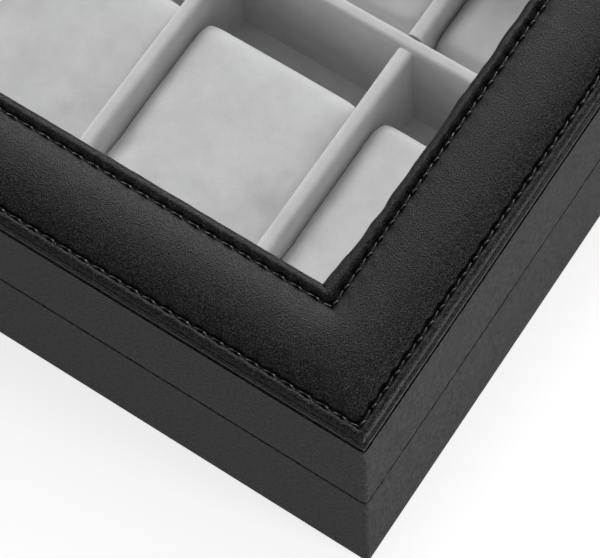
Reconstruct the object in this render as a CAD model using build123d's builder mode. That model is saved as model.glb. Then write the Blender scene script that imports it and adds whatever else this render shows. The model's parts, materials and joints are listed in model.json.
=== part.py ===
from build123d import *
import os

os.makedirs("parts", exist_ok=True)

# A watch box with two rows of six cushions under a hinged lid with a window.
# X runs along the front, +Y points to the back and +Z up. The origin is the middle of the underside.

# ---- Driving dimensions, millimetres ----
box_width = 300.0
box_depth = 200.0
box_height = 80.0
seam_height = 42.4  # middle of the gap between base and lid
seam_gap = 0.6

columns = 6
leather_thickness = 0.7
board_thickness = 4.5
lining_thickness = 0.8
felt_thickness = 0.6
felt_inset = 3.0
felt_rounding = 4.0
bottom_thickness = 3.4
floor_lining_thickness = 1.0
corner_radius = 1.0
rim_rounding = 0.5  # on the leather where lid and base meet

divider_thickness = 4.0
divider_top = 37.0
divider_rounding = 1.6
lap_clearance = 0.1  # each side of a cross-lap slot
lining_set_back = 0.4  # linings stop this far below the base's rim

cushion_length = 76.0
cushion_height = 27.0
cushion_side_gap = 0.1  # the cushions just touch the dividers
cushion_front_gap = 2.5
cushion_corner = 5.5
cushion_top_edge = 4.8
cushion_foot_edge = 2.0

frame_width = 25.5  # padded frame, from the outer face to the window
frame_skin = 0.8
frame_gap = 1.8  # shadow gap under the padded frame
top_board_thickness = 3.0
top_board_top = 75.4
frame_edge_rounding = 0.95
glue_inset = 1.0  # the frame's underside stands back this far from the boards' outer faces
foam_height = 3.2
foam_margin = 6.0  # unpadded margin beside each edge of the frame
foam_bevel = 1.2
glass_thickness = 3.0
glass_overlap = 5.0
glass_clearance = 0.2
glass_rounding = 2.0
glass_bevel = 0.4
ledge_thickness = 2.5

hinge_spread = 80.0  # centre of each hinge from the middle of the box
leaf_length = 28.0
leaf_height = 14.0
leaf_thickness = 0.8
leaf_rounding = 2.0
knuckle_count = 5
knuckle_radius = 2.0
knuckle_gap = 0.15
pin_radius = 1.0
pin_clearance = 0.05
pin_overhang = 0.6
hinge_clearance = 0.3  # knuckle to the back of the box
screw_spacing = 18.0
screw_drop = 9.5  # hinge screw below or above the seam
screw_radius = 0.75
screw_head_radius = 1.7
screw_head_height = 0.5
screw_grip = 3.0
screw_slot_length = 2.2
screw_slot_width = 0.4
screw_slot_depth = 0.25
head_dome = 0.8  # share of a screw or rivet head's height that is rounded off

lock_height = 31.0  # axis of the lock cylinder
lock_case_width = 20.0
lock_case_bottom = 23.0
lock_case_depth = 4.0
lock_case_wall = 0.5
lock_top_gap = 0.2  # case and plate stop this far below the rim
lock_plate_width = 26.0
lock_plate_bottom = 21.0
lock_plate_thickness = 1.0
lock_plate_rounding = 2.0
lock_plate_bevel = 0.3
rivet_inset = 2.0  # puts the rivets beside the case
rivet_radius = 0.6
rivet_head_radius = 0.9
rivet_head_height = 0.4
rivet_grip = 3.5
cylinder_radius = 4.0
cylinder_stand_out = 1.0
cylinder_rounding = 0.4
cylinder_rear = 98.9  # distance of the cylinder's rear face in front of the middle
key_width = 0.9
key_height = 4.6
key_depth = 2.0
cam_thickness = 1.0
cam_hub_radius = 3.0
cam_reach = 8.2
cam_width = 2.2
strike_thickness = 1.0
tongue_left = 4.6
tongue_width = 4.0
tongue_front = 97.4  # distance of the tongue's front face in front of the middle
tongue_bottom = 28.4
strike_screw_xs = (-6.5, 0.5)
strike_screw_grip = 5.0

# ---- Levels and outlines worked out from them ----
base_top = seam_height - seam_gap / 2
lid_bottom = seam_height + seam_gap / 2
front_face = box_depth / 2
shell_width = box_width - 2 * leather_thickness
shell_depth = box_depth - 2 * leather_thickness
bay_width = shell_width - 2 * board_thickness  # between the boards
bay_depth = shell_depth - 2 * board_thickness
room_width = bay_width - 2 * lining_thickness  # between the linings
room_depth = bay_depth - 2 * lining_thickness
bottom_top = felt_thickness + bottom_thickness
floor_level = bottom_top + floor_lining_thickness
base_board_top = base_top - leather_thickness
lid_board_bottom = lid_bottom + leather_thickness
lid_lining_bottom = lid_bottom + seam_gap / 2
top_board_bottom = top_board_top - top_board_thickness
glass_bottom = top_board_bottom - glass_thickness
ledge_bottom = glass_bottom - ledge_thickness
window_width = box_width - 2 * frame_width
window_depth = box_depth - 2 * frame_width
board_window_width = window_width + 2 * frame_skin
board_window_depth = window_depth + 2 * frame_skin
pane_width = window_width + 2 * glass_overlap
pane_depth = window_depth + 2 * glass_overlap
frame_bottom = top_board_top + frame_gap

slot_width = (room_width - (columns - 1) * divider_thickness) / columns
slot_depth = (room_depth - divider_thickness) / 2
slot_pitch = slot_width + divider_thickness
slot_centres = [(i - (columns - 1) / 2) * slot_pitch for i in range(columns)]
divider_centres = [(i - (columns - 2) / 2) * slot_pitch for i in range(columns - 1)]
lap_height = (floor_level + divider_top) / 2
lap_width = divider_thickness + 2 * lap_clearance

hinge_axis_y = box_depth / 2 + knuckle_radius + hinge_clearance
knuckle_pitch = leaf_length / knuckle_count

lock_case_top = base_top - lock_top_gap
strike_y = lock_case_depth / 2 - shell_depth / 2
strike_screw_places = [(x, strike_y) for x in strike_screw_xs]
tongue_x = tongue_left + tongue_width / 2

front_plane = Plane.XZ.offset(front_face)  # sketches on it read as (x, z), and it faces the front
back_plane = Plane.XZ.offset(-box_depth / 2)


def save(piece, name):
    """Labels a finished piece and writes it as one node."""
    piece.part.label = name
    export_step(piece.part, f"parts/{name}.step")


def wall_plans(outer_width, outer_depth, thickness):
    """Plans of four butt-jointed walls: front and back run full width, left and right stand between them."""
    x = (outer_width - thickness) / 2
    y = (outer_depth - thickness) / 2
    side_length = outer_depth - 2 * thickness
    return {
        "front": ((0, -y), (outer_width, thickness)),
        "back": ((0, y), (outer_width, thickness)),
        "left": ((-x, 0), (thickness, side_length)),
        "right": ((x, 0), (thickness, side_length)),
    }


def lock_mortise(top):
    """Cuts the mortise of the lock out of the part being built, up to the given level."""
    middle = (lock_case_bottom + top) / 2
    with BuildSketch(front_plane) as mortise:
        with Locations((0, middle)):
            Rectangle(lock_case_width, top - lock_case_bottom)
    extrude(mortise.sketch, amount=-leather_thickness - lock_case_depth, mode=Mode.SUBTRACT)


def hinge_screw_spots(side):
    """Places of the hinge screws, as (x, z): side is -1 below the seam and 1 above it."""
    return [
        (hinge_x + screw_x, seam_height + side * screw_drop)
        for hinge_x in (-hinge_spread, hinge_spread)
        for screw_x in (-screw_spacing / 2, screw_spacing / 2)
    ]


def hinge_screw_holes(side):
    """Cuts the shank holes of the hinge screws out of the part being built."""
    with BuildSketch(back_plane) as holes:
        with Locations(*hinge_screw_spots(side)):
            Circle(screw_radius)
    extrude(holes.sketch, amount=leather_thickness + screw_grip, mode=Mode.SUBTRACT)
    extrude(holes.sketch, amount=-leaf_thickness, mode=Mode.SUBTRACT)


def rivet_spots():
    """Corners of the lock plate that are riveted, as (x, z)."""
    x = lock_plate_width / 2 - rivet_inset
    lowest = lock_plate_bottom + rivet_inset
    highest = base_top - rivet_inset
    return [(side * x, z) for side in (-1, 1) for z in (lowest, highest)]


def rivet_holes(outward):
    """Cuts the rivets' shank holes out of the part being built, from the front face outward or inward."""
    with BuildSketch(front_plane) as holes:
        with Locations(*rivet_spots()):
            Circle(rivet_radius)
    amount = lock_plate_thickness if outward else -leather_thickness - rivet_grip
    extrude(holes.sketch, amount=amount, mode=Mode.SUBTRACT)


# ---- Base: underside, bottom, walls and their leather ----
with BuildPart() as underside_felt:
    with BuildSketch(Plane.XY):
        RectangleRounded(box_width - 2 * felt_inset, box_depth - 2 * felt_inset, felt_rounding)
    extrude(amount=felt_thickness)
save(underside_felt, "base_underside_felt")

with BuildPart() as bottom_board:
    with BuildSketch(Plane.XY.offset(felt_thickness)):
        Rectangle(shell_width, shell_depth)
    extrude(amount=bottom_thickness)
save(bottom_board, "base_bottom_board")

for side, (centre, size) in wall_plans(shell_width, shell_depth, board_thickness).items():
    with BuildPart() as base_wall:
        with BuildSketch(Plane.XY.offset(bottom_top)):
            with Locations(centre):
                Rectangle(*size)
        extrude(amount=base_board_top - bottom_top)
        if side == "front":
            lock_mortise(base_board_top)
            rivet_holes(outward=False)
        if side == "back":
            hinge_screw_holes(-1)
    save(base_wall, f"base_{side}_wall")

with BuildPart() as base_leather:
    with BuildSketch(Plane.XY.offset(felt_thickness)):
        RectangleRounded(box_width, box_depth, corner_radius)
        Rectangle(shell_width, shell_depth, mode=Mode.SUBTRACT)
    extrude(amount=base_board_top - felt_thickness)
    # The skin is turned in over the rim.
    with BuildSketch(Plane.XY.offset(base_board_top)):
        RectangleRounded(box_width, box_depth, corner_radius)
        Rectangle(bay_width, bay_depth, mode=Mode.SUBTRACT)
    extrude(amount=leather_thickness)
    fillet(base_leather.faces().sort_by(Axis.Z)[-1].outer_wire().edges(), rim_rounding)
    lock_mortise(base_top)
    rivet_holes(outward=False)
    hinge_screw_holes(-1)
save(base_leather, "base_leather_wrap")

# ---- Base: velvet linings and dividers ----
with BuildPart() as floor_lining:
    with BuildSketch(Plane.XY.offset(bottom_top)):
        Rectangle(bay_width, bay_depth)
    extrude(amount=floor_lining_thickness)
save(floor_lining, "base_floor_lining")

for side, (centre, size) in wall_plans(bay_width, bay_depth, lining_thickness).items():
    with BuildPart() as base_lining:
        with BuildSketch(Plane.XY.offset(floor_level)):
            with Locations(centre):
                Rectangle(*size)
        extrude(amount=base_top - lining_set_back - floor_level)
    save(base_lining, f"base_{side}_lining")

with BuildPart() as row_divider:
    with BuildSketch(Plane.XY.offset(floor_level)):
        Rectangle(room_width, divider_thickness)
    extrude(amount=divider_top - floor_level)
    fillet(row_divider.faces().sort_by(Axis.Z)[-1].edges().filter_by(Axis.X), divider_rounding)
    # Slots from below straddle the column dividers.
    with BuildSketch(Plane.XY.offset(floor_level)):
        with Locations(*[(x, 0) for x in divider_centres]):
            Rectangle(lap_width, divider_thickness)
    extrude(amount=lap_height + lap_clearance - floor_level, mode=Mode.SUBTRACT)
save(row_divider, "row_divider")

for number, x in enumerate(divider_centres, start=1):
    with BuildPart() as column_divider:
        with BuildSketch(Plane.XY.offset(floor_level)):
            with Locations((x, 0)):
                Rectangle(divider_thickness, room_depth)
        extrude(amount=divider_top - floor_level)
        fillet(column_divider.faces().sort_by(Axis.Z)[-1].edges().filter_by(Axis.Y), divider_rounding)
        # The slot from above lets the row divider through.
        with BuildSketch(Plane.XY.offset(lap_height)):
            with Locations((x, 0)):
                Rectangle(divider_thickness, lap_width)
        extrude(amount=divider_top - lap_height, mode=Mode.SUBTRACT)
    save(column_divider, f"column_divider_{number}")

# ---- Cushions, each loose in its own slot ----
cushion_width = slot_width - 2 * cushion_side_gap
for row, slot_front in {"front": -room_depth / 2, "back": divider_thickness / 2}.items():
    for number, x in enumerate(slot_centres, start=1):
        with BuildPart() as cushion:
            with BuildSketch(Plane.XY.offset(floor_level)):
                with Locations((x, slot_front + cushion_front_gap + cushion_length / 2)):
                    RectangleRounded(cushion_width, cushion_length, cushion_corner)
            extrude(amount=cushion_height)
            fillet(cushion.edges().group_by(Axis.Z)[-1], cushion_top_edge)
            fillet(cushion.edges().group_by(Axis.Z)[0], cushion_foot_edge)
        save(cushion, f"cushion_{row}_{number}")

# ---- Lid: side walls and their leather ----
for side, (centre, size) in wall_plans(shell_width, shell_depth, board_thickness).items():
    with BuildPart() as lid_wall:
        with BuildSketch(Plane.XY.offset(lid_board_bottom)):
            with Locations(centre):
                Rectangle(*size)
        extrude(amount=top_board_bottom - lid_board_bottom)
        if side == "front":
            # Recess for the strike, and its two screw holes.
            with BuildSketch(Plane.XY.offset(lid_board_bottom)):
                with Locations((0, strike_y)):
                    Rectangle(lock_case_width, lock_case_depth)
            extrude(amount=lid_bottom + strike_thickness - lid_board_bottom, mode=Mode.SUBTRACT)
            with BuildSketch(Plane.XY.offset(lid_bottom + strike_thickness)):
                with Locations(*strike_screw_places):
                    Circle(screw_radius)
            extrude(amount=strike_screw_grip, mode=Mode.SUBTRACT)
        if side == "back":
            hinge_screw_holes(1)
    save(lid_wall, f"lid_{side}_wall")

with BuildPart() as lid_leather:
    with BuildSketch(Plane.XY.offset(lid_bottom)):
        RectangleRounded(box_width, box_depth, corner_radius)
        Rectangle(shell_width, shell_depth, mode=Mode.SUBTRACT)
    extrude(amount=top_board_top - lid_bottom)
    # The skin is turned in under the rim, and left open for the strike.
    with BuildSketch(Plane.XY.offset(lid_bottom)):
        Rectangle(shell_width, shell_depth)
        Rectangle(bay_width, bay_depth, mode=Mode.SUBTRACT)
        with Locations((0, strike_y)):
            Rectangle(lock_case_width, lock_case_depth, mode=Mode.SUBTRACT)
    extrude(amount=leather_thickness)
    fillet(lid_leather.faces().sort_by(Axis.Z)[0].outer_wire().edges(), rim_rounding)
    hinge_screw_holes(1)
save(lid_leather, "lid_leather_wrap")

for side, (centre, size) in wall_plans(bay_width, bay_depth, lining_thickness).items():
    with BuildPart() as lid_lining:
        with BuildSketch(Plane.XY.offset(lid_lining_bottom)):
            with Locations(centre):
                Rectangle(*size)
        extrude(amount=top_board_bottom - lid_lining_bottom)
    save(lid_lining, f"lid_{side}_lining")

# ---- Lid: window and its frame ----
with BuildPart() as glass_ledge:
    with BuildSketch(Plane.XY.offset(ledge_bottom)):
        Rectangle(room_width, room_depth)
        Rectangle(window_width, window_depth, mode=Mode.SUBTRACT)
    extrude(amount=top_board_bottom - ledge_bottom)
    # The pane lies in a rebate.
    with BuildSketch(Plane.XY.offset(glass_bottom)):
        Rectangle(pane_width + 2 * glass_clearance, pane_depth + 2 * glass_clearance)
    extrude(amount=glass_thickness, mode=Mode.SUBTRACT)
save(glass_ledge, "lid_glass_ledge")

with BuildPart() as window_glass:
    with BuildSketch(Plane.XY.offset(glass_bottom)):
        RectangleRounded(pane_width, pane_depth, glass_rounding)
    extrude(amount=glass_thickness)
    chamfer(window_glass.edges().group_by(Axis.Z)[-1], glass_bevel)
save(window_glass, "lid_window_glass")

with BuildPart() as top_board:
    with BuildSketch(Plane.XY.offset(top_board_bottom)):
        Rectangle(shell_width, shell_depth)
        Rectangle(board_window_width, board_window_depth, mode=Mode.SUBTRACT)
    extrude(amount=top_board_thickness)
save(top_board, "lid_top_board")

with BuildPart() as foam_ring:
    with BuildSketch(Plane.XY.offset(top_board_top)):
        RectangleRounded(box_width - 2 * foam_margin, box_depth - 2 * foam_margin, foam_margin)
        Rectangle(window_width + 2 * foam_margin, window_depth + 2 * foam_margin, mode=Mode.SUBTRACT)
    extrude(amount=foam_height)
    chamfer(foam_ring.edges().group_by(Axis.Z)[-1], foam_bevel)
save(foam_ring, "lid_foam_ring")

with BuildPart() as top_leather:
    with BuildSketch(Plane.XY.offset(frame_bottom)):
        RectangleRounded(box_width, box_depth, corner_radius)
        Rectangle(window_width, window_depth, mode=Mode.SUBTRACT)
    extrude(amount=box_height - frame_bottom)
    fillet(top_leather.edges().group_by(Axis.Z)[-1], frame_edge_rounding)
    # The skin is turned down round the window, onto the pane.
    with BuildSketch(Plane.XY.offset(top_board_bottom)):
        Rectangle(board_window_width, board_window_depth)
        Rectangle(window_width, window_depth, mode=Mode.SUBTRACT)
    extrude(amount=frame_bottom - top_board_bottom)
    # Glued down under its outer margin.
    with BuildSketch(Plane.XY.offset(top_board_top)):
        Rectangle(shell_width - 2 * glue_inset, shell_depth - 2 * glue_inset)
        Rectangle(board_window_width, board_window_depth, mode=Mode.SUBTRACT)
    extrude(amount=frame_gap)
    add(foam_ring.part, mode=Mode.SUBTRACT)
save(top_leather, "lid_top_leather")

# ---- Hinges ----
def knuckle_starts(hinge_x, side):
    """Left ends of the knuckles of one leaf: the base leaf (side -1) has the first, third and fifth."""
    first = 0 if side < 0 else 1
    return [hinge_x - leaf_length / 2 + i * knuckle_pitch for i in range(first, knuckle_count, 2)]


def round_along_x(start, length, radius, mode):
    """A round bar or bore on the hinge axis, in the part being built."""
    with BuildSketch(Plane.YZ.offset(start)) as section:
        with Locations((hinge_axis_y, seam_height)):
            Circle(radius)
    extrude(section.sketch, amount=length, mode=mode)


def hinge_leaf(hinge_x, side):
    """One leaf: a plate on the back face, with knuckles that share the pin with the other leaf."""
    with BuildPart() as leaf:
        with BuildSketch(back_plane):
            with Locations((hinge_x, seam_height + side * leaf_height / 2)):
                Rectangle(leaf_length, leaf_height)
        extrude(amount=-leaf_thickness)
        far_corners = leaf.edges().filter_by(Axis.Y).sort_by(Axis.Z)
        fillet(far_corners[:2] if side < 0 else far_corners[-2:], leaf_rounding)
        for start in knuckle_starts(hinge_x, -side):
            room = knuckle_radius + hinge_clearance
            round_along_x(start - knuckle_gap, knuckle_pitch + 2 * knuckle_gap, room, Mode.SUBTRACT)
        for start in knuckle_starts(hinge_x, side):
            round_along_x(start + knuckle_gap, knuckle_pitch - 2 * knuckle_gap, knuckle_radius, Mode.ADD)
        bore = pin_radius if side < 0 else pin_radius + pin_clearance
        round_along_x(hinge_x - leaf_length / 2, leaf_length, bore, Mode.SUBTRACT)
        hinge_screw_holes(side)
    return leaf


def hinge_screws(side):
    """The four screws of one pair of leaves, with domed slotted heads."""
    outer = back_plane.offset(-leaf_thickness)
    with BuildPart() as screws:
        with BuildSketch(outer):
            with Locations(*hinge_screw_spots(side)):
                Circle(screw_radius)
        extrude(amount=leaf_thickness + leather_thickness + screw_grip)
        with BuildSketch(outer):
            with Locations(*hinge_screw_spots(side)):
                Circle(screw_head_radius)
        extrude(amount=-screw_head_height)
        fillet(screws.edges().group_by(Axis.Y)[-1], head_dome * screw_head_height)
        with BuildSketch(outer.offset(-screw_head_height)):
            with Locations(*hinge_screw_spots(side)):
                Rectangle(screw_slot_length, screw_slot_width)
        extrude(amount=screw_slot_depth, mode=Mode.SUBTRACT)
    return screws


for hand, hinge_x in {"left": -hinge_spread, "right": hinge_spread}.items():
    save(hinge_leaf(hinge_x, -1), f"hinge_{hand}_base_leaf")
    save(hinge_leaf(hinge_x, 1), f"hinge_{hand}_lid_leaf")
    with BuildPart() as hinge_pin:
        with BuildSketch(Plane.YZ.offset(hinge_x - leaf_length / 2 - pin_overhang)):
            with Locations((hinge_axis_y, seam_height)):
                Circle(pin_radius)
        extrude(amount=leaf_length + 2 * pin_overhang)
        fillet(hinge_pin.edges().filter_by(GeomType.CIRCLE), pin_radius / 2)
    save(hinge_pin, f"hinge_{hand}_pin")
save(hinge_screws(-1), "hinge_base_screws")
save(hinge_screws(1), "hinge_lid_screws")

# ---- Lock: case and plate in the base, cam cylinder, and the strike on the lid ----
with BuildPart() as lock_case:
    with BuildSketch(Plane.XZ.offset(front_face - leather_thickness - lock_case_depth)):
        with Locations((0, (lock_case_bottom + lock_case_top) / 2)):
            Rectangle(lock_case_width, lock_case_top - lock_case_bottom)
    extrude(amount=lock_case_depth)
    cavity_bottom = lock_case_bottom + lock_case_wall
    with BuildSketch(front_plane.offset(-leather_thickness)):
        with Locations((0, (cavity_bottom + lock_case_top) / 2)):
            Rectangle(lock_case_width - 2 * lock_case_wall, lock_case_top - cavity_bottom)
    extrude(amount=-(lock_case_depth - lock_case_wall), mode=Mode.SUBTRACT)
save(lock_case, "lock_case")

with BuildPart() as lock_plate:
    with BuildSketch(front_plane):
        with Locations((0, (lock_plate_bottom + lock_case_top) / 2)):
            RectangleRounded(lock_plate_width, lock_case_top - lock_plate_bottom, lock_plate_rounding)
        with Locations((0, lock_height)):
            Circle(cylinder_radius + pin_clearance, mode=Mode.SUBTRACT)
    extrude(amount=lock_plate_thickness)
    front_rim = lock_plate.faces().sort_by(Axis.Y)[0].outer_wire().edges()
    chamfer(front_rim, lock_plate_bevel)
    rivet_holes(outward=True)
save(lock_plate, "lock_plate")

with BuildPart() as lock_rivets:
    with BuildSketch(front_plane.offset(lock_plate_thickness)):
        with Locations(*rivet_spots()):
            Circle(rivet_radius)
    extrude(amount=-(lock_plate_thickness + leather_thickness + rivet_grip))
    with BuildSketch(front_plane.offset(lock_plate_thickness)):
        with Locations(*rivet_spots()):
            Circle(rivet_head_radius)
    extrude(amount=rivet_head_height)
    fillet(lock_rivets.edges().group_by(Axis.Y)[0], head_dome * rivet_head_height)
save(lock_rivets, "lock_rivets")

with BuildPart() as lock_cylinder:
    with BuildSketch(Plane.XZ.offset(cylinder_rear)):
        with Locations((0, lock_height)):
            Circle(cylinder_radius)
    extrude(amount=front_face + lock_plate_thickness + cylinder_stand_out - cylinder_rear)
    fillet(lock_cylinder.edges().group_by(Axis.Y)[0], cylinder_rounding)
    with BuildSketch(front_plane.offset(lock_plate_thickness + cylinder_stand_out)):
        with Locations((0, lock_height)):
            SlotOverall(key_height, key_width, rotation=90)
    extrude(amount=-key_depth, mode=Mode.SUBTRACT)
    # The cam stands up while the lock is open, and turns a quarter over the tongue's foot.
    with BuildSketch(Plane.XZ.offset(cylinder_rear)):
        with Locations((0, lock_height)):
            Circle(cam_hub_radius)
        with Locations((0, lock_height + cam_reach / 2)):
            Rectangle(cam_width, cam_reach)
    extrude(amount=-cam_thickness)
save(lock_cylinder, "lock_cylinder")

with BuildPart() as lock_strike:
    with BuildSketch(Plane.XY.offset(lid_bottom)):
        with Locations((0, strike_y)):
            Rectangle(lock_case_width, lock_case_depth)
        with Locations(*strike_screw_places):
            Circle(screw_head_radius, mode=Mode.SUBTRACT)
    extrude(amount=strike_thickness)
    with BuildSketch(Plane.XY.offset(tongue_bottom)):
        with Locations((tongue_x, strike_thickness / 2 - tongue_front)):
            Rectangle(tongue_width, strike_thickness)
    extrude(amount=lid_bottom + strike_thickness - tongue_bottom)
    # The tongue's foot reaches forward under the turned cam.
    with BuildSketch(Plane.XY.offset(tongue_bottom)):
        with Locations((tongue_x, -(cylinder_rear + tongue_front) / 2)):
            Rectangle(tongue_width, cylinder_rear - tongue_front)
    extrude(amount=strike_thickness)
save(lock_strike, "lock_strike")

with BuildPart() as strike_screws:
    with BuildSketch(Plane.XY.offset(lid_bottom)):
        with Locations(*strike_screw_places):
            Circle(screw_head_radius)
    extrude(amount=strike_thickness)
    with BuildSketch(Plane.XY.offset(lid_bottom + strike_thickness)):
        with Locations(*strike_screw_places):
            Circle(screw_radius)
    extrude(amount=strike_screw_grip)
save(strike_screws, "lock_strike_screws")
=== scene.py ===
"""Looks of the watch box: padded stitched leather, velvet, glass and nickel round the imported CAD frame."""

import json
import math

import bpy
import numpy as np
from mathutils import Matrix, Vector, noise


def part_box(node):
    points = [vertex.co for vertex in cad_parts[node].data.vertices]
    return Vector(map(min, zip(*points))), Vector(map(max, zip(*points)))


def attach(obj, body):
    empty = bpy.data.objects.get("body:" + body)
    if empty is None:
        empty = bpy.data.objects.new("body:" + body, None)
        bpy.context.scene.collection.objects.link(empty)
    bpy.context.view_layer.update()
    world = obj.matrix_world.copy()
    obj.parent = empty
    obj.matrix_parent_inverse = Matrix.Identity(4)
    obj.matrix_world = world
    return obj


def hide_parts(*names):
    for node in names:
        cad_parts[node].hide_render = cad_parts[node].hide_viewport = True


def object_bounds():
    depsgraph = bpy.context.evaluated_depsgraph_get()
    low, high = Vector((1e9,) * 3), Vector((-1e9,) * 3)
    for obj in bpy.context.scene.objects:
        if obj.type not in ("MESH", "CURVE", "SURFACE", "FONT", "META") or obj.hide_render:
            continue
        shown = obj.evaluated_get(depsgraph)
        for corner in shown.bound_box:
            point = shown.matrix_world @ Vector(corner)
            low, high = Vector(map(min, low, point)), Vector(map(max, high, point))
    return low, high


MM = 0.001

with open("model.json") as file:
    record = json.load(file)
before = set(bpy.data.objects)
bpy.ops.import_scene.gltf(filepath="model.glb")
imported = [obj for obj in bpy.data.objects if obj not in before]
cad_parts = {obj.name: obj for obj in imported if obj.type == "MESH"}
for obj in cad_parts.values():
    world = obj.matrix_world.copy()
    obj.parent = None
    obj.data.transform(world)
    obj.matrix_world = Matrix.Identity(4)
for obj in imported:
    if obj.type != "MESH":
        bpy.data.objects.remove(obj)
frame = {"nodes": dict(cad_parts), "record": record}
nodes = frame["nodes"]
cad_low, cad_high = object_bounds()

# ---- Measures read from the frame ----
leather_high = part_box("lid_top_leather")[1]
wall_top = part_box("lid_leather_wrap")[1].z
pane_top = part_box("lid_window_glass")[1].z
half_width = leather_high.x
half_depth = leather_high.y

# ---- Measures of the padded leather frame ----
shadow_gap = 1.8 * MM  # between the lid's walls and the lip
frame_base = wall_top + shadow_gap
frame_width = 25.5 * MM  # from the outer faces to the window
outer_row = 3.5 * MM  # the two rows of stitches, inward from the outer faces
inner_row = 22.0 * MM
stitch_pitch = 4.2 * MM
groove_height = 1.45 * MM  # of the skin at the stitches, over the frame's base
crown_height = 1.75 * MM  # of the padding over the skin at the stitches


# ---- Materials ----
class Shader:
    """A node material with a Principled shader, built up from textures in the object's own coordinates."""

    def __init__(self, name, color, roughness, **values):
        self.material = bpy.data.materials.new(name)
        self.material.use_nodes = True
        self.tree = self.material.node_tree
        self.principled = self.tree.nodes["Principled BSDF"]
        self.principled.inputs["Base Color"].default_value = (*color, 1)
        self.principled.inputs["Roughness"].default_value = roughness
        for socket, value in values.items():
            self.principled.inputs[socket.replace("_", " ")].default_value = value
        self.place = self.node("ShaderNodeTexCoord").outputs["Object"]

    def node(self, kind, **settings):
        made = self.tree.nodes.new(kind)
        for key, value in settings.items():
            setattr(made, key, value)
        return made

    def link(self, source, target):
        self.tree.links.new(source, target)

    def noise(self, cell, detail=2.0, roughness=0.5, stretch=None):
        """Noise whose features are about cell metres across; stretch scales the three axes."""
        texture = self.node("ShaderNodeTexNoise")
        texture.inputs["Scale"].default_value = 1 / cell
        texture.inputs["Detail"].default_value = detail
        texture.inputs["Roughness"].default_value = roughness
        self.link(self.stretched(stretch), texture.inputs["Vector"])
        return texture.outputs["Fac"]

    def cells(self, cell, feature="F1"):
        texture = self.node("ShaderNodeTexVoronoi", feature=feature)
        texture.inputs["Scale"].default_value = 1 / cell
        self.link(self.place, texture.inputs["Vector"])
        return texture.outputs["Distance"]

    def stretched(self, stretch):
        if stretch is None:
            return self.place
        mapping = self.node("ShaderNodeMapping")
        mapping.inputs["Scale"].default_value = stretch
        self.link(self.place, mapping.inputs["Vector"])
        return mapping.outputs["Vector"]

    def spread(self, source, low, high, from_low=0.3, from_high=0.7):
        """Maps a texture's middle range onto low to high."""
        ranged = self.node("ShaderNodeMapRange")
        ranged.inputs["From Min"].default_value = from_low
        ranged.inputs["From Max"].default_value = from_high
        ranged.inputs["To Min"].default_value = low
        ranged.inputs["To Max"].default_value = high
        self.link(source, ranged.inputs["Value"])
        return ranged.outputs["Result"]

    def tint(self, source, dark, light):
        """Colours the surface from dark to light as source goes from 0 to 1."""
        ramp = self.node("ShaderNodeValToRGB")
        ramp.color_ramp.elements[0].color = (*dark, 1)
        ramp.color_ramp.elements[1].color = (*light, 1)
        self.link(source, ramp.inputs["Fac"])
        self.link(ramp.outputs["Color"], self.principled.inputs["Base Color"])

    def roughen(self, source):
        self.link(source, self.principled.inputs["Roughness"])

    def bump(self, *layers):
        """Adds bumps one over the other; each layer is (height source, metres high, strength)."""
        normal = None
        for source, height, strength in layers:
            bumped = self.node("ShaderNodeBump")
            bumped.inputs["Distance"].default_value = height
            bumped.inputs["Strength"].default_value = strength
            self.link(source, bumped.inputs["Height"])
            if normal is not None:
                self.link(normal, bumped.inputs["Normal"])
            normal = bumped.outputs["Normal"]
        self.link(normal, self.principled.inputs["Normal"])


def grey(value, warmth=0.0):
    return (value * (1 + warmth), value, value * (1 - warmth))


def padded_leather():
    shader = Shader("padded_leather", grey(0.007), 0.34, Specular_IOR_Level=0.23)
    pebble = shader.cells(0.34 * MM)
    pore = shader.noise(0.20 * MM, detail=2)
    drift = shader.noise(9 * MM, detail=3)
    speckle = shader.noise(0.29 * MM, detail=2)
    shader.tint(shader.spread(speckle, 0, 1, 0.48, 0.72), grey(0.0005), grey(0.040))
    shader.roughen(shader.spread(speckle, 0.26, 0.56))
    shader.bump((drift, 0.2 * MM, 0.3), (pebble, 0.07 * MM, 1.0), (pore, 0.06 * MM, 1.0))
    return shader.material


def side_leather():
    shader = Shader("side_leather", grey(0.013), 0.55, Specular_IOR_Level=0.11, IOR=1.25)
    pebble = shader.cells(0.85 * MM)
    pore = shader.noise(0.45 * MM, detail=2)
    speckle = shader.noise(0.80 * MM, detail=3)
    shader.tint(shader.spread(speckle, 0, 1, 0.38, 0.68), grey(0.002), grey(0.030))
    shader.roughen(shader.spread(speckle, 0.52, 0.60))
    shader.bump((pebble, 0.12 * MM, 1.0), (pore, 0.12 * MM, 1.0))
    return shader.material


def velvet(name, level):
    """Short-pile velvet: brushed patches of nap, a fine pile and a soft sheen."""
    shader = Shader(name, grey(level), 0.95, Specular_IOR_Level=0.15, Sheen_Weight=0.35, Sheen_Roughness=0.45)
    brushed = shader.noise(7 * MM, detail=5, roughness=0.6)
    pile = shader.noise(0.45 * MM, detail=4, roughness=0.7)
    patch = shader.node("ShaderNodeMath", operation="ADD")
    shader.link(shader.spread(brushed, 0, 0.7), patch.inputs[0])
    shader.link(shader.spread(pile, 0, 0.3), patch.inputs[1])
    shader.tint(patch.outputs["Value"], grey(level * 0.90, 0.004), grey(level * 1.09, 0.004))
    shader.bump((brushed, 0.2 * MM, 0.25), (pile, 0.10 * MM, 0.8))
    return shader.material


def thread_material():
    shader = Shader("waxed_thread", grey(0.02), 0.28, Specular_IOR_Level=0.8)
    ply = shader.noise(0.22 * MM, detail=2)
    shader.tint(shader.noise(0.8 * MM), grey(0.015), grey(0.03))
    shader.bump((ply, 0.05 * MM, 0.8))
    return shader.material


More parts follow.
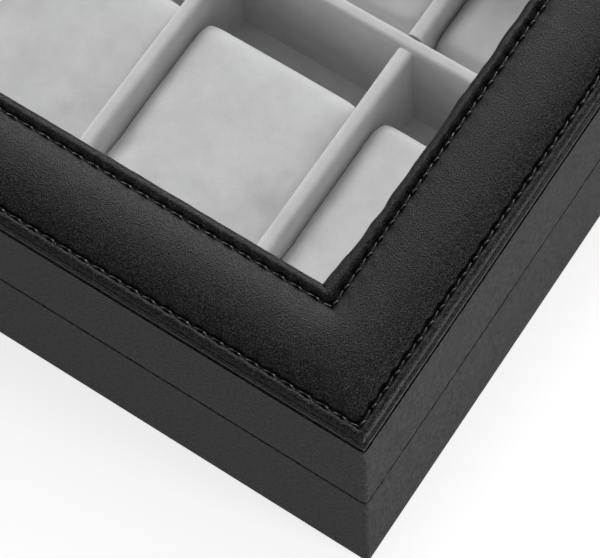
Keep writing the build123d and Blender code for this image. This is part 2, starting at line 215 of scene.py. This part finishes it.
def felt_material():
    shader = Shader("black_felt", grey(0.02), 1.0, Specular_IOR_Level=0.1, Sheen_Weight=0.3)
    fibre = shader.noise(0.5 * MM, detail=6, roughness=0.7)
    shader.tint(fibre, grey(0.012), grey(0.032))
    shader.bump((fibre, 0.15 * MM, 0.9))
    return shader.material


def fibreboard_material():
    shader = Shader("fibreboard", (0.42, 0.30, 0.19), 0.85)
    fleck = shader.noise(0.7 * MM, detail=6, roughness=0.7, stretch=(1, 1, 3))
    shader.tint(shader.spread(fleck, 0, 1), (0.33, 0.23, 0.14), (0.50, 0.37, 0.24))
    shader.bump((fleck, 0.08 * MM, 0.5))
    return shader.material


def foam_material():
    shader = Shader("foam", (0.75, 0.73, 0.66), 0.95)
    pores = shader.cells(0.9 * MM)
    shader.tint(pores, (0.60, 0.58, 0.52), (0.80, 0.78, 0.72))
    shader.bump((pores, 0.2 * MM, 0.8))
    return shader.material


def nickel_material():
    shader = Shader("satin_nickel", (0.42, 0.41, 0.39), 0.3, Metallic=1.0)
    brushing = shader.noise(0.3 * MM, detail=4, stretch=(0.08, 1, 1))
    smudge = shader.noise(4 * MM, detail=3)
    shader.tint(shader.spread(smudge, 0, 1), (0.38, 0.37, 0.35), (0.46, 0.45, 0.43))
    shader.roughen(shader.spread(brushing, 0.24, 0.42))
    shader.bump((brushing, 0.02 * MM, 0.5))
    return shader.material


def glass_material():
    """A clear pane: light passes straight through, and the surface mirrors more the flatter it is seen."""
    shader = Shader("clear_pane", (0.95, 0.97, 0.96), 0.03)
    tree = shader.tree
    falloff = 5.0
    flattest_mirror = 0.9
    clear = shader.node("ShaderNodeBsdfTransparent")
    clear.inputs["Color"].default_value = (0.985, 0.99, 0.988, 1)
    mirror = shader.node("ShaderNodeBsdfGlossy")
    mirror.inputs["Roughness"].default_value = 0.02
    facing = shader.node("ShaderNodeLayerWeight")
    steep = shader.node("ShaderNodeMath", operation="POWER")
    steep.inputs[1].default_value = falloff
    shader.link(facing.outputs["Facing"], steep.inputs[0])
    handling = shader.noise(60 * MM, detail=2)
    share = shader.node("ShaderNodeMath", operation="MULTIPLY_ADD")
    shader.link(steep.outputs["Value"], share.inputs[0])
    share.inputs[1].default_value = flattest_mirror
    shader.link(shader.spread(handling, 0.02, 0.03), share.inputs[2])
    mix = shader.node("ShaderNodeMixShader")
    shader.link(share.outputs["Value"], mix.inputs["Fac"])
    shader.link(clear.outputs["BSDF"], mix.inputs[1])
    shader.link(mirror.outputs["BSDF"], mix.inputs[2])
    shader.link(mix.outputs["Shader"], tree.nodes["Material Output"].inputs["Surface"])
    tree.nodes.remove(shader.principled)
    return shader.material


finishes = {
    "side_leather": side_leather(),
    "top_leather": padded_leather(),
    "velvet": velvet("lining_velvet", 0.70),
    "cushion_velvet": velvet("cushion_velvet", 0.70),
    "black_felt": felt_material(),
    "board": fibreboard_material(),
    "foam": foam_material(),
    "window_glass": glass_material(),
    "nickel": nickel_material(),
}
thread = thread_material()

for subpart in frame["record"]["subparts"]:
    mesh = nodes[subpart["node"]].data
    mesh.materials.clear()
    mesh.materials.append(finishes[subpart["material_slot"]])


# ---- Shared mesh helpers ----
def mesh_object(name, points, faces, material, smooth=True):
    mesh = bpy.data.meshes.new(name)
    mesh.from_pydata([tuple(p) for p in points], [], faces)
    mesh.validate()
    if smooth:
        mesh.shade_smooth()
    mesh.materials.append(material)
    piece = bpy.data.objects.new(name, mesh)
    bpy.context.scene.collection.objects.link(piece)
    return piece


def loft(rings):
    """Points and quads of a skin through closed rings of equal length; the last ring joins the first."""
    count, size = len(rings), len(rings[0])
    points = np.concatenate(rings)
    faces = []
    for i in range(count):
        a, b = i * size, (i + 1) % count * size
        for j in range(size):
            k = (j + 1) % size
            faces.append((a + j, a + k, b + k, b + j))
    return points, faces


# ---- Padded leather frame ----
# It is worked out as a height over the distance inward from the outer faces (the inset). The four sides
# meet on mitre lines, and each is followed by equal stations.
corners = [
    Vector((half_width, -half_depth)),
    Vector((half_width, half_depth)),
    Vector((-half_width, half_depth)),
    Vector((-half_width, -half_depth)),
]


def crown_table(grid_step, reach, softness):
    """Shape of the padding near a corner, 0 at the stitches and up to 1: a skin over springy foam.

    Row and column are the distances inward from the two outer faces. The skin relaxes to its resting shape on
    a grid, held down along both rows of stitches. softness is how far the foam lets a pull spread.
    """
    rounds = 1500
    count = int(round(reach / grid_step)) + 1
    distance = np.arange(count) * grid_step
    across, along = np.meshgrid(distance, distance, indexing="ij")
    nearest = np.minimum(across, along)
    free = (nearest > outer_row) & (nearest < inner_row)
    height = np.where(free, 1.0, 0.0)
    pull = (grid_step / softness) ** 2
    for _ in range(rounds):
        padded = np.pad(height, 1, mode="edge")
        around = padded[:-2, 1:-1] + padded[2:, 1:-1] + padded[1:-1, :-2] + padded[1:-1, 2:]
        height = np.where(free, (around + pull) / (4 + pull), 0.0)
    middle = height[-1][(distance > outer_row) & (distance < inner_row)].max()
    return height / middle


crown_step = 0.5 * MM
crown_reach = 60 * MM
foam_softness = 5.0 * MM
crown = crown_table(crown_step, crown_reach, foam_softness)


def crown_at(x, y):
    """Reads the crown for arrays of places, by straight-line interpolation."""
    last = len(crown) - 1.001  # just inside the last cell
    row = np.clip((half_width - np.abs(x)) / crown_step, 0, last)
    column = np.clip((half_depth - np.abs(y)) / crown_step, 0, last)
    i, j = row.astype(int), column.astype(int)
    u, v = row - i, column - j
    near = crown[i, j] * (1 - v) + crown[i, j + 1] * v
    far = crown[i + 1, j] * (1 - v) + crown[i + 1, j + 1] * v
    return near * (1 - u) + far * u


def arc(centre, radius, start, end, count):
    """Points (inset, height) on an arc; 0 degrees points towards the window and 90 degrees up."""
    angles = np.radians(np.linspace(start, end, count))
    return [(centre[0] + radius * math.cos(a), centre[1] + radius * math.sin(a)) for a in angles]


def frame_section():
    """Closed section of the leather as (inset, height over the frame's base), without crown or puckers.

    It starts under the lip, goes over the top to the window, down and back under the frame.
    """
    lip_radius = 0.34 * MM
    lip = arc((lip_radius, 0.62 * MM), lip_radius, 270, 60, 9)
    outer_roll = arc((2.35 * MM, 0.35 * MM), 1.62 * MM, 158, 75, 9)
    near_row = np.linspace(-1.05, 1.05, 15) * MM  # close points where the stitches pull
    clear_of_row = 1.6 * MM
    middle = np.linspace(outer_row + clear_of_row, inner_row - clear_of_row, 21)
    outer_seam = [(outer_row + off, groove_height) for off in near_row[3:]]
    inner_seam = [(inner_row + off, groove_height) for off in near_row[:-3]]
    padding = [(inset, groove_height) for inset in middle]
    inner_roll = arc((frame_width - 1.9 * MM, 0.15 * MM), 1.75 * MM, 100, 0, 11)
    pane = pane_top - frame_base
    underside = wall_top - frame_base
    skin = 0.75 * MM  # thickness of the leather at the window
    tuck = 1.6 * MM  # how far the shadow gap goes in
    flange_edge = 0.35 * MM  # the turned-under leather comes out to here, over the board
    flange_top = underside + 0.2 * MM
    turned_down = [
        (frame_width - 0.12 * MM, underside * 0.5),
        (frame_width - 0.05 * MM, pane),
        (frame_width - skin, pane),
        (frame_width - skin, underside),
        (flange_edge, underside),
        (flange_edge, flange_top),
        (tuck, flange_top),
        (tuck, 0.05 * MM),
    ]
    return lip + outer_roll + outer_seam + padding + inner_seam + inner_roll + turned_down


def row_phase(length, inset, along):
    """Distance along a row of stitches to the nearest hole, and the row's pitch.

    length is the side's outer length, and along is the share of it.
    """
    run = length - 2 * inset
    stitches = round(run / stitch_pitch)
    pitch = run / stitches
    place = along * run
    return (place + pitch / 2) % pitch - pitch / 2, pitch


def pucker(inset, length, along):
    """How far the stitches pull the leather down: a groove, a dimple at each hole and the slope round it."""
    groove_depth, groove_reach = 0.50 * MM, 0.42 * MM
    dimple_depth, dimple_across, dimple_along = 0.85 * MM, 0.62 * MM, 0.95 * MM
    dimple_inset = 0.12 * MM
    slope_depth, slope_reach = 0.22 * MM, 1.5 * MM
    drop = np.zeros_like(inset)
    for row in (outer_row, inner_row):
        off = inset - row
        to_hole, pitch = row_phase(length, row, along)
        tension = 0.5 + 0.5 * np.cos(2 * math.pi * to_hole / pitch)
        from_dimple = ((off - dimple_inset) / dimple_across) ** 2
        drop += groove_depth * np.exp(-((off / groove_reach) ** 2))
        drop += dimple_depth * np.exp(-from_dimple - (to_hole / dimple_along) ** 2)
        drop += slope_depth * tension * np.exp(-np.abs(off) / slope_reach)
    return drop


def mitre_bulge(section, side_run):
    """Turned-in leather bunches where the left and right sides meet the window's corners.

    side_run is how far along the side the station is from the nearer corner of the window.
    """
    reach = 9 * MM
    size = 1.15 * MM
    held = 0.6 * MM  # leather this close to the inner row doesn't move
    bunch = size * math.exp(-((side_run / reach) ** 2))
    inner = np.clip((section[:, 0] - inner_row - held) / (frame_width - inner_row - held), 0, 1)
    return bunch * inner


def fold_wander(section, forward, along_side, reach):
    """Sideways wander of the leather turned in at the window, up to reach, where it was gathered by hand."""
    fold_length = 5 * MM
    held = 0.8 * MM
    turned = np.clip((section[:, 0] - inner_row - held) / (1.5 * MM), 0, 1)
    place = Vector((along_side / fold_length, 3.7 * forward.x, 5.3 * forward.y))  # differs by side
    return reach * noise.noise(place) * turned


def build_top_leather():
    """The leather frame with its crown, puckers and gathered folds; it stands for the CAD leather."""
    section = np.array(frame_section())
    station = 0.83 * MM
    lip_top = 0.9 * MM  # skin above this is the frame's top
    window_calm = 6 * MM  # the folds fade out this close to the window's corners
    rings = []
    heights = section[:, 1]
    for index, start in enumerate(corners):
        end = corners[(index + 1) % 4]
        side = end - start
        length = side.length
        forward = side.normalized()
        inward = Vector((-forward.y, forward.x))
        steps = int(round(length / station))
        sideways = abs(forward.y) > 0.5
        for step in range(steps):
            along = step / steps
            window_run = min(along, 1 - along) * (length - 2 * frame_width)
            insets = section[:, 0] + (mitre_bulge(section, window_run) if sideways else 0)
            wander = (0.28 if sideways else 0.08) * MM * min(1, window_run / window_calm)
            insets += fold_wander(section, forward, along * length, wander)
            run = section[:, 0] + along * (length - 2 * section[:, 0])
            x = start.x + forward.x * run + inward.x * insets
            y = start.y + forward.y * run + inward.y * insets
            z = heights.copy()
            top = heights > lip_top
            padded = top & (insets > outer_row) & (insets < inner_row)
            z[padded] += crown_height * crown_at(x[padded], y[padded])
            z[top] -= pucker(insets[top], length, np.full(top.sum(), along))
            for k in np.nonzero(top)[0]:
                place = Vector((x[k], y[k], 0.0))
                broad = 0.09 * MM * noise.noise(place / (13 * MM))
                fine = 0.03 * MM * noise.noise(place / (3 * MM))
                z[k] += broad + fine
            rings.append(np.stack([x, y, z + frame_base], axis=1))
    points, faces = loft(rings)
    piece = mesh_object("padded_top_leather", points, faces, finishes["top_leather"])
    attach(piece, "lid")
    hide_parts("lid_top_leather")


build_top_leather()


class Tubes:
    """Gathers many short round lengths of thread into one mesh."""

    def __init__(self):
        self.points = []
        self.faces = []

    def add(self, centres, radii, sides=8):
        """Adds a tube with closed ends round a run of centres; it must not run straight up or down."""
        first = len(self.points)
        direction = (centres[-1] - centres[0]).normalized()
        across = direction.cross(Vector((0, 0, 1))).normalized()
        for centre, radius in zip(centres, radii):
            for k in range(sides):
                angle = 2 * math.pi * k / sides
                rim = across * math.cos(angle) + Vector((0, 0, 1)) * math.sin(angle)
                self.points.append(tuple(centre + rim * radius))
        for ring in range(len(centres) - 1):
            a = first + ring * sides
            for k in range(sides):
                n = (k + 1) % sides
                self.faces.append((a + k, a + n, a + n + sides, a + k + sides))
        last = first + (len(centres) - 1) * sides
        self.faces.append(tuple(first + k for k in reversed(range(sides))))
        self.faces.append(tuple(last + k for k in range(sides)))


def build_stitches(name, row, lean):
    """One row of lock stitches: a raised slanting end at each hole, and a sunk run to the next hole.

    lean is +1 when the raised ends slant inward from the row, and -1 when they slant outward.
    """
    tubes = Tubes()
    steps = 7
    for index, start in enumerate(corners):
        end = corners[(index + 1) % 4]
        side = end - start
        forward = side.normalized()
        inward = Vector((-forward.y, forward.x))
        stitches = round((side.length - 2 * row) / stitch_pitch)
        pitch = (side.length - 2 * row) / stitches

        def place(along, sideways, height):
            flat = start + forward * (row + along) + inward * (row + sideways)
            return Vector((flat.x, flat.y, frame_base + groove_height + height))

        for stitch in range(stitches):
            hole = stitch * pitch
            shares = [k / (steps - 1) for k in range(steps)]
            bows = [math.sin(math.pi * share) for share in shares]
            raised = []
            sunk = []
            for share, bow in zip(shares, bows):
                along_raised = hole + (0.06 + 0.40 * share) * pitch
                along_sunk = hole + (0.44 + 0.58 * share) * pitch
                sideways_raised = lean * (0.02 + 0.62 * share) * MM
                sideways_sunk = lean * (0.34 - 0.50 * share) * MM
                raised.append(place(along_raised, sideways_raised, (0.34 * bow - 0.12) * MM))
                sunk.append(place(along_sunk, sideways_sunk, (0.10 * bow - 0.72) * MM))
            tubes.add(raised, [(0.10 + 0.16 * bow) * MM for bow in bows])
            tubes.add(sunk, [(0.12 + 0.10 * bow) * MM for bow in bows])
    piece = mesh_object(name, tubes.points, tubes.faces, thread)
    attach(piece, "lid")


build_stitches("stitches_outer", outer_row, -1)
build_stitches("stitches_inner", inner_row, -1)


# ---- Cushions ----
def plan_outline(half_x, half_y, radius, per_corner=7):
    """Points of a rounded rectangle, going round from the right side."""
    outline = []
    for turn, (sign_x, sign_y) in enumerate(((1, 1), (-1, 1), (-1, -1), (1, -1))):
        for k in range(per_corner):
            angle = math.radians(90 * turn + 90 * k / (per_corner - 1))
            x = sign_x * (half_x - radius) + radius * math.cos(angle)
            y = sign_y * (half_y - radius) + radius * math.sin(angle)
            outline.append((x, y))
    return outline


def rounded_block(name, size, corner, edge, cell):
    """A closed block with a rounded plan and round edges, centred on its origin, as an even grid of quads."""
    half_x, half_y, half_z = size.x / 2, size.y / 2, size.z / 2
    quarter = [math.radians(15 * k) for k in range(7)]
    profile = [(edge * (1 - math.sin(a)), -half_z + edge * (1 - math.cos(a))) for a in quarter]
    profile += [(inset, -z) for inset, z in reversed(profile)]
    rings = []
    for inset, z in profile:
        outline = plan_outline(half_x - inset, half_y - inset, max(corner - inset, 0.5 * MM))
        rings.append([(x, y, z) for x, y in outline])
    count = len(rings[0])
    points = [point for ring in rings for point in ring]
    faces = []
    for i in range(len(rings) - 1):
        for j in range(count):
            k = (j + 1) % count
            faces.append((i * count + j, i * count + k, (i + 1) * count + k, (i + 1) * count + j))
    faces.append(tuple(reversed(range(count))))
    faces.append(tuple((len(rings) - 1) * count + j for j in range(count)))
    piece = mesh_object(name, points, faces, finishes["cushion_velvet"])
    remesh = piece.modifiers.new("even", "REMESH")
    remesh.mode = "VOXEL"
    remesh.voxel_size = cell
    apply_modifiers(piece)
    return piece


def read_points(mesh):
    flat = np.empty(len(mesh.vertices) * 3)
    mesh.vertices.foreach_get("co", flat)
    return flat.reshape(-1, 3)


def write_points(mesh, points):
    mesh.vertices.foreach_set("co", points.ravel())
    mesh.update()


def apply_modifiers(piece):
    depsgraph = bpy.context.evaluated_depsgraph_get()
    evaluated = piece.evaluated_get(depsgraph)
    final = bpy.data.meshes.new_from_object(evaluated)
    piece.modifiers.clear()
    piece.data = final


def inflate(piece, pressure, frames):
    """Swells a closed mesh as cloth under pressure, with no gravity, and keeps the result."""
    cloth = piece.modifiers.new("cloth", "CLOTH")
    settings = cloth.settings
    settings.quality = 6
    settings.mass = 0.2
    settings.tension_stiffness = 25
    settings.compression_stiffness = 25
    settings.shear_stiffness = 12
    settings.bending_stiffness = 1.5
    settings.use_pressure = True
    settings.uniform_pressure_force = pressure
    settings.effector_weights.gravity = 0
    scene = bpy.context.scene
    for step in range(1, frames + 1):
        scene.frame_set(step)
    apply_modifiers(piece)
    scene.frame_set(1)


cushion_low, cushion_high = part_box("cushion_front_1")
slot_size = cushion_high - cushion_low


def cushion_shape(variant):
    """One simulated cushion, centred on the middle of the space that its CAD solid holds."""
    size = slot_size - Vector((0.3, 0.9, 1.6)) * MM  # room to swell
    corner, edge, cell = 2.8 * MM, 4.6 * MM, 2.0 * MM
    piece = rounded_block(f"cushion_shape_{variant}", size, corner, edge, cell)
    start = read_points(piece.data)
    inflate(piece, pressure=3.0 + 0.2 * variant, frames=14)
    points = read_points(piece.data)
    cap = 2.2 * MM  # the furthest that any point may swell
    moved = points - start
    reach = np.linalg.norm(moved, axis=1, keepdims=True)
    points = start + moved * np.minimum(1, cap / np.maximum(reach, 1e-9))
    side_gap = 0.05 * MM
    lump_size, lump_height = 16 * MM, 0.35 * MM
    half = np.array([slot_size.x / 2 - side_gap, slot_size.y / 2, slot_size.z / 2])
    for axis in (0, 1):
        points[:, axis] = np.clip(points[:, axis], -half[axis], half[axis])
    points[:, 2] = np.maximum(points[:, 2], -half[2])
    for k, point in enumerate(points):
        lump = noise.noise(Vector(point) / lump_size + Vector((7.3 * variant, 0, 0)))
        points[k, 2] += lump_height * lump * (point[2] > 0)
    write_points(piece.data, points)
    piece.modifiers.new("smooth", "SUBSURF").levels = 1
    apply_modifiers(piece)
    piece.data.shade_smooth()
    mesh = piece.data
    bpy.data.objects.remove(piece)
    return mesh


shapes = [cushion_shape(variant) for variant in range(3)]
for index, node in enumerate(sorted(name for name in nodes if name.startswith("cushion_"))):
    low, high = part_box(node)
    mesh = shapes[index % len(shapes)].copy()
    mesh.name = f"velvet_{node}"
    middle = (low + high) / 2
    mesh.transform(Matrix.Translation(middle))
    mesh.materials.clear()
    mesh.materials.append(finishes["cushion_velvet"])
    cushion = bpy.data.objects.new(f"velvet_{node}", mesh)
    bpy.context.scene.collection.objects.link(cushion)
    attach(cushion, node)
    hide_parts(node)


# ---- Floor, light and camera ----
def build_floor():
    reach = 3.0
    points = [(-reach, -reach, 0), (reach, -reach, 0), (reach, reach, 0), (-reach, reach, 0)]
    shader = Shader("pale_floor", grey(0.9), 0.8)
    shader.tint(shader.noise(0.5, detail=2), grey(0.89), grey(0.91))
    shader.principled.inputs["Emission Color"].default_value = (1, 1, 1, 1)
    shader.principled.inputs["Emission Strength"].default_value = 0.55
    floor = mesh_object("floor", points, [(0, 1, 2, 3)], shader.material, smooth=False)


def aim(direction):
    """Rotation that points an object's -Z along a direction."""
    return Vector(direction).to_track_quat("-Z", "Y").to_euler()


def area_light(name, azimuth, elevation, distance, size, power):
    """A soft box aimed at the box; azimuth 0 is behind it and 90 on its right, all angles in degrees."""
    a, e = math.radians(azimuth), math.radians(elevation)
    away = Vector((math.sin(a) * math.cos(e), math.cos(a) * math.cos(e), math.sin(e)))
    light = bpy.data.lights.new(name, "AREA")
    light.shape = "RECTANGLE"
    light.size, light.size_y = size
    light.energy = power
    lamp = bpy.data.objects.new(name, light)
    lamp.location = away * distance
    lamp.rotation_euler = aim(-away)
    bpy.context.scene.collection.objects.link(lamp)


soft_boxes = {  # azimuth, elevation, distance, size and power
    "key": (-40, 42, 1.6, (0.8, 0.55), 10),
    "left": (-95, 22, 1.3, (0.9, 0.4), 3),
    "right_fill": (100, 9, 1.4, (0.9, 0.4), 21),
    "top": (0, 85, 1.5, (1.0, 1.0), 2),
    "front_fill": (170, 25, 1.4, (1.0, 0.5), 2),
    "back": (-8, 35, 1.5, (0.8, 0.4), 13),
}
world_strength = 0.14


def build_light():
    world = bpy.data.worlds.new("studio")
    world.use_nodes = True
    background = world.node_tree.nodes["Background"]
    background.inputs["Color"].default_value = (1, 1, 1, 1)
    background.inputs["Strength"].default_value = world_strength
    bpy.context.scene.world = world
    for name, light in soft_boxes.items():
        area_light(name, *light)
    bpy.context.scene.view_settings.view_transform = "Standard"


def build_camera():
    """Looks down on the front right corner from the right front, and leans a little."""
    azimuth, elevation, roll = math.radians(38.26), math.radians(67.01), math.radians(5.16)
    distance = 496.7 * MM
    corner = Vector((half_width, -half_depth, cad_high.z))
    target = corner + Vector((-30.3, 23.0, 0.0)) * MM
    forward = Vector((
        -math.sin(azimuth) * math.cos(elevation),
        math.cos(azimuth) * math.cos(elevation),
        -math.sin(elevation),
    ))
    data = bpy.data.cameras.new("camera")
    data.sensor_width = 36
    data.lens = 147.84
    data.clip_start = 0.01
    camera = bpy.data.objects.new("camera", data)
    level = forward.to_track_quat("-Z", "Y").to_matrix()
    camera.rotation_euler = (level @ Matrix.Rotation(-roll, 3, "Z")).to_euler()
    camera.location = target - forward * distance
    bpy.context.scene.collection.objects.link(camera)
    bpy.context.scene.camera = camera


build_floor()
build_light()
build_camera()
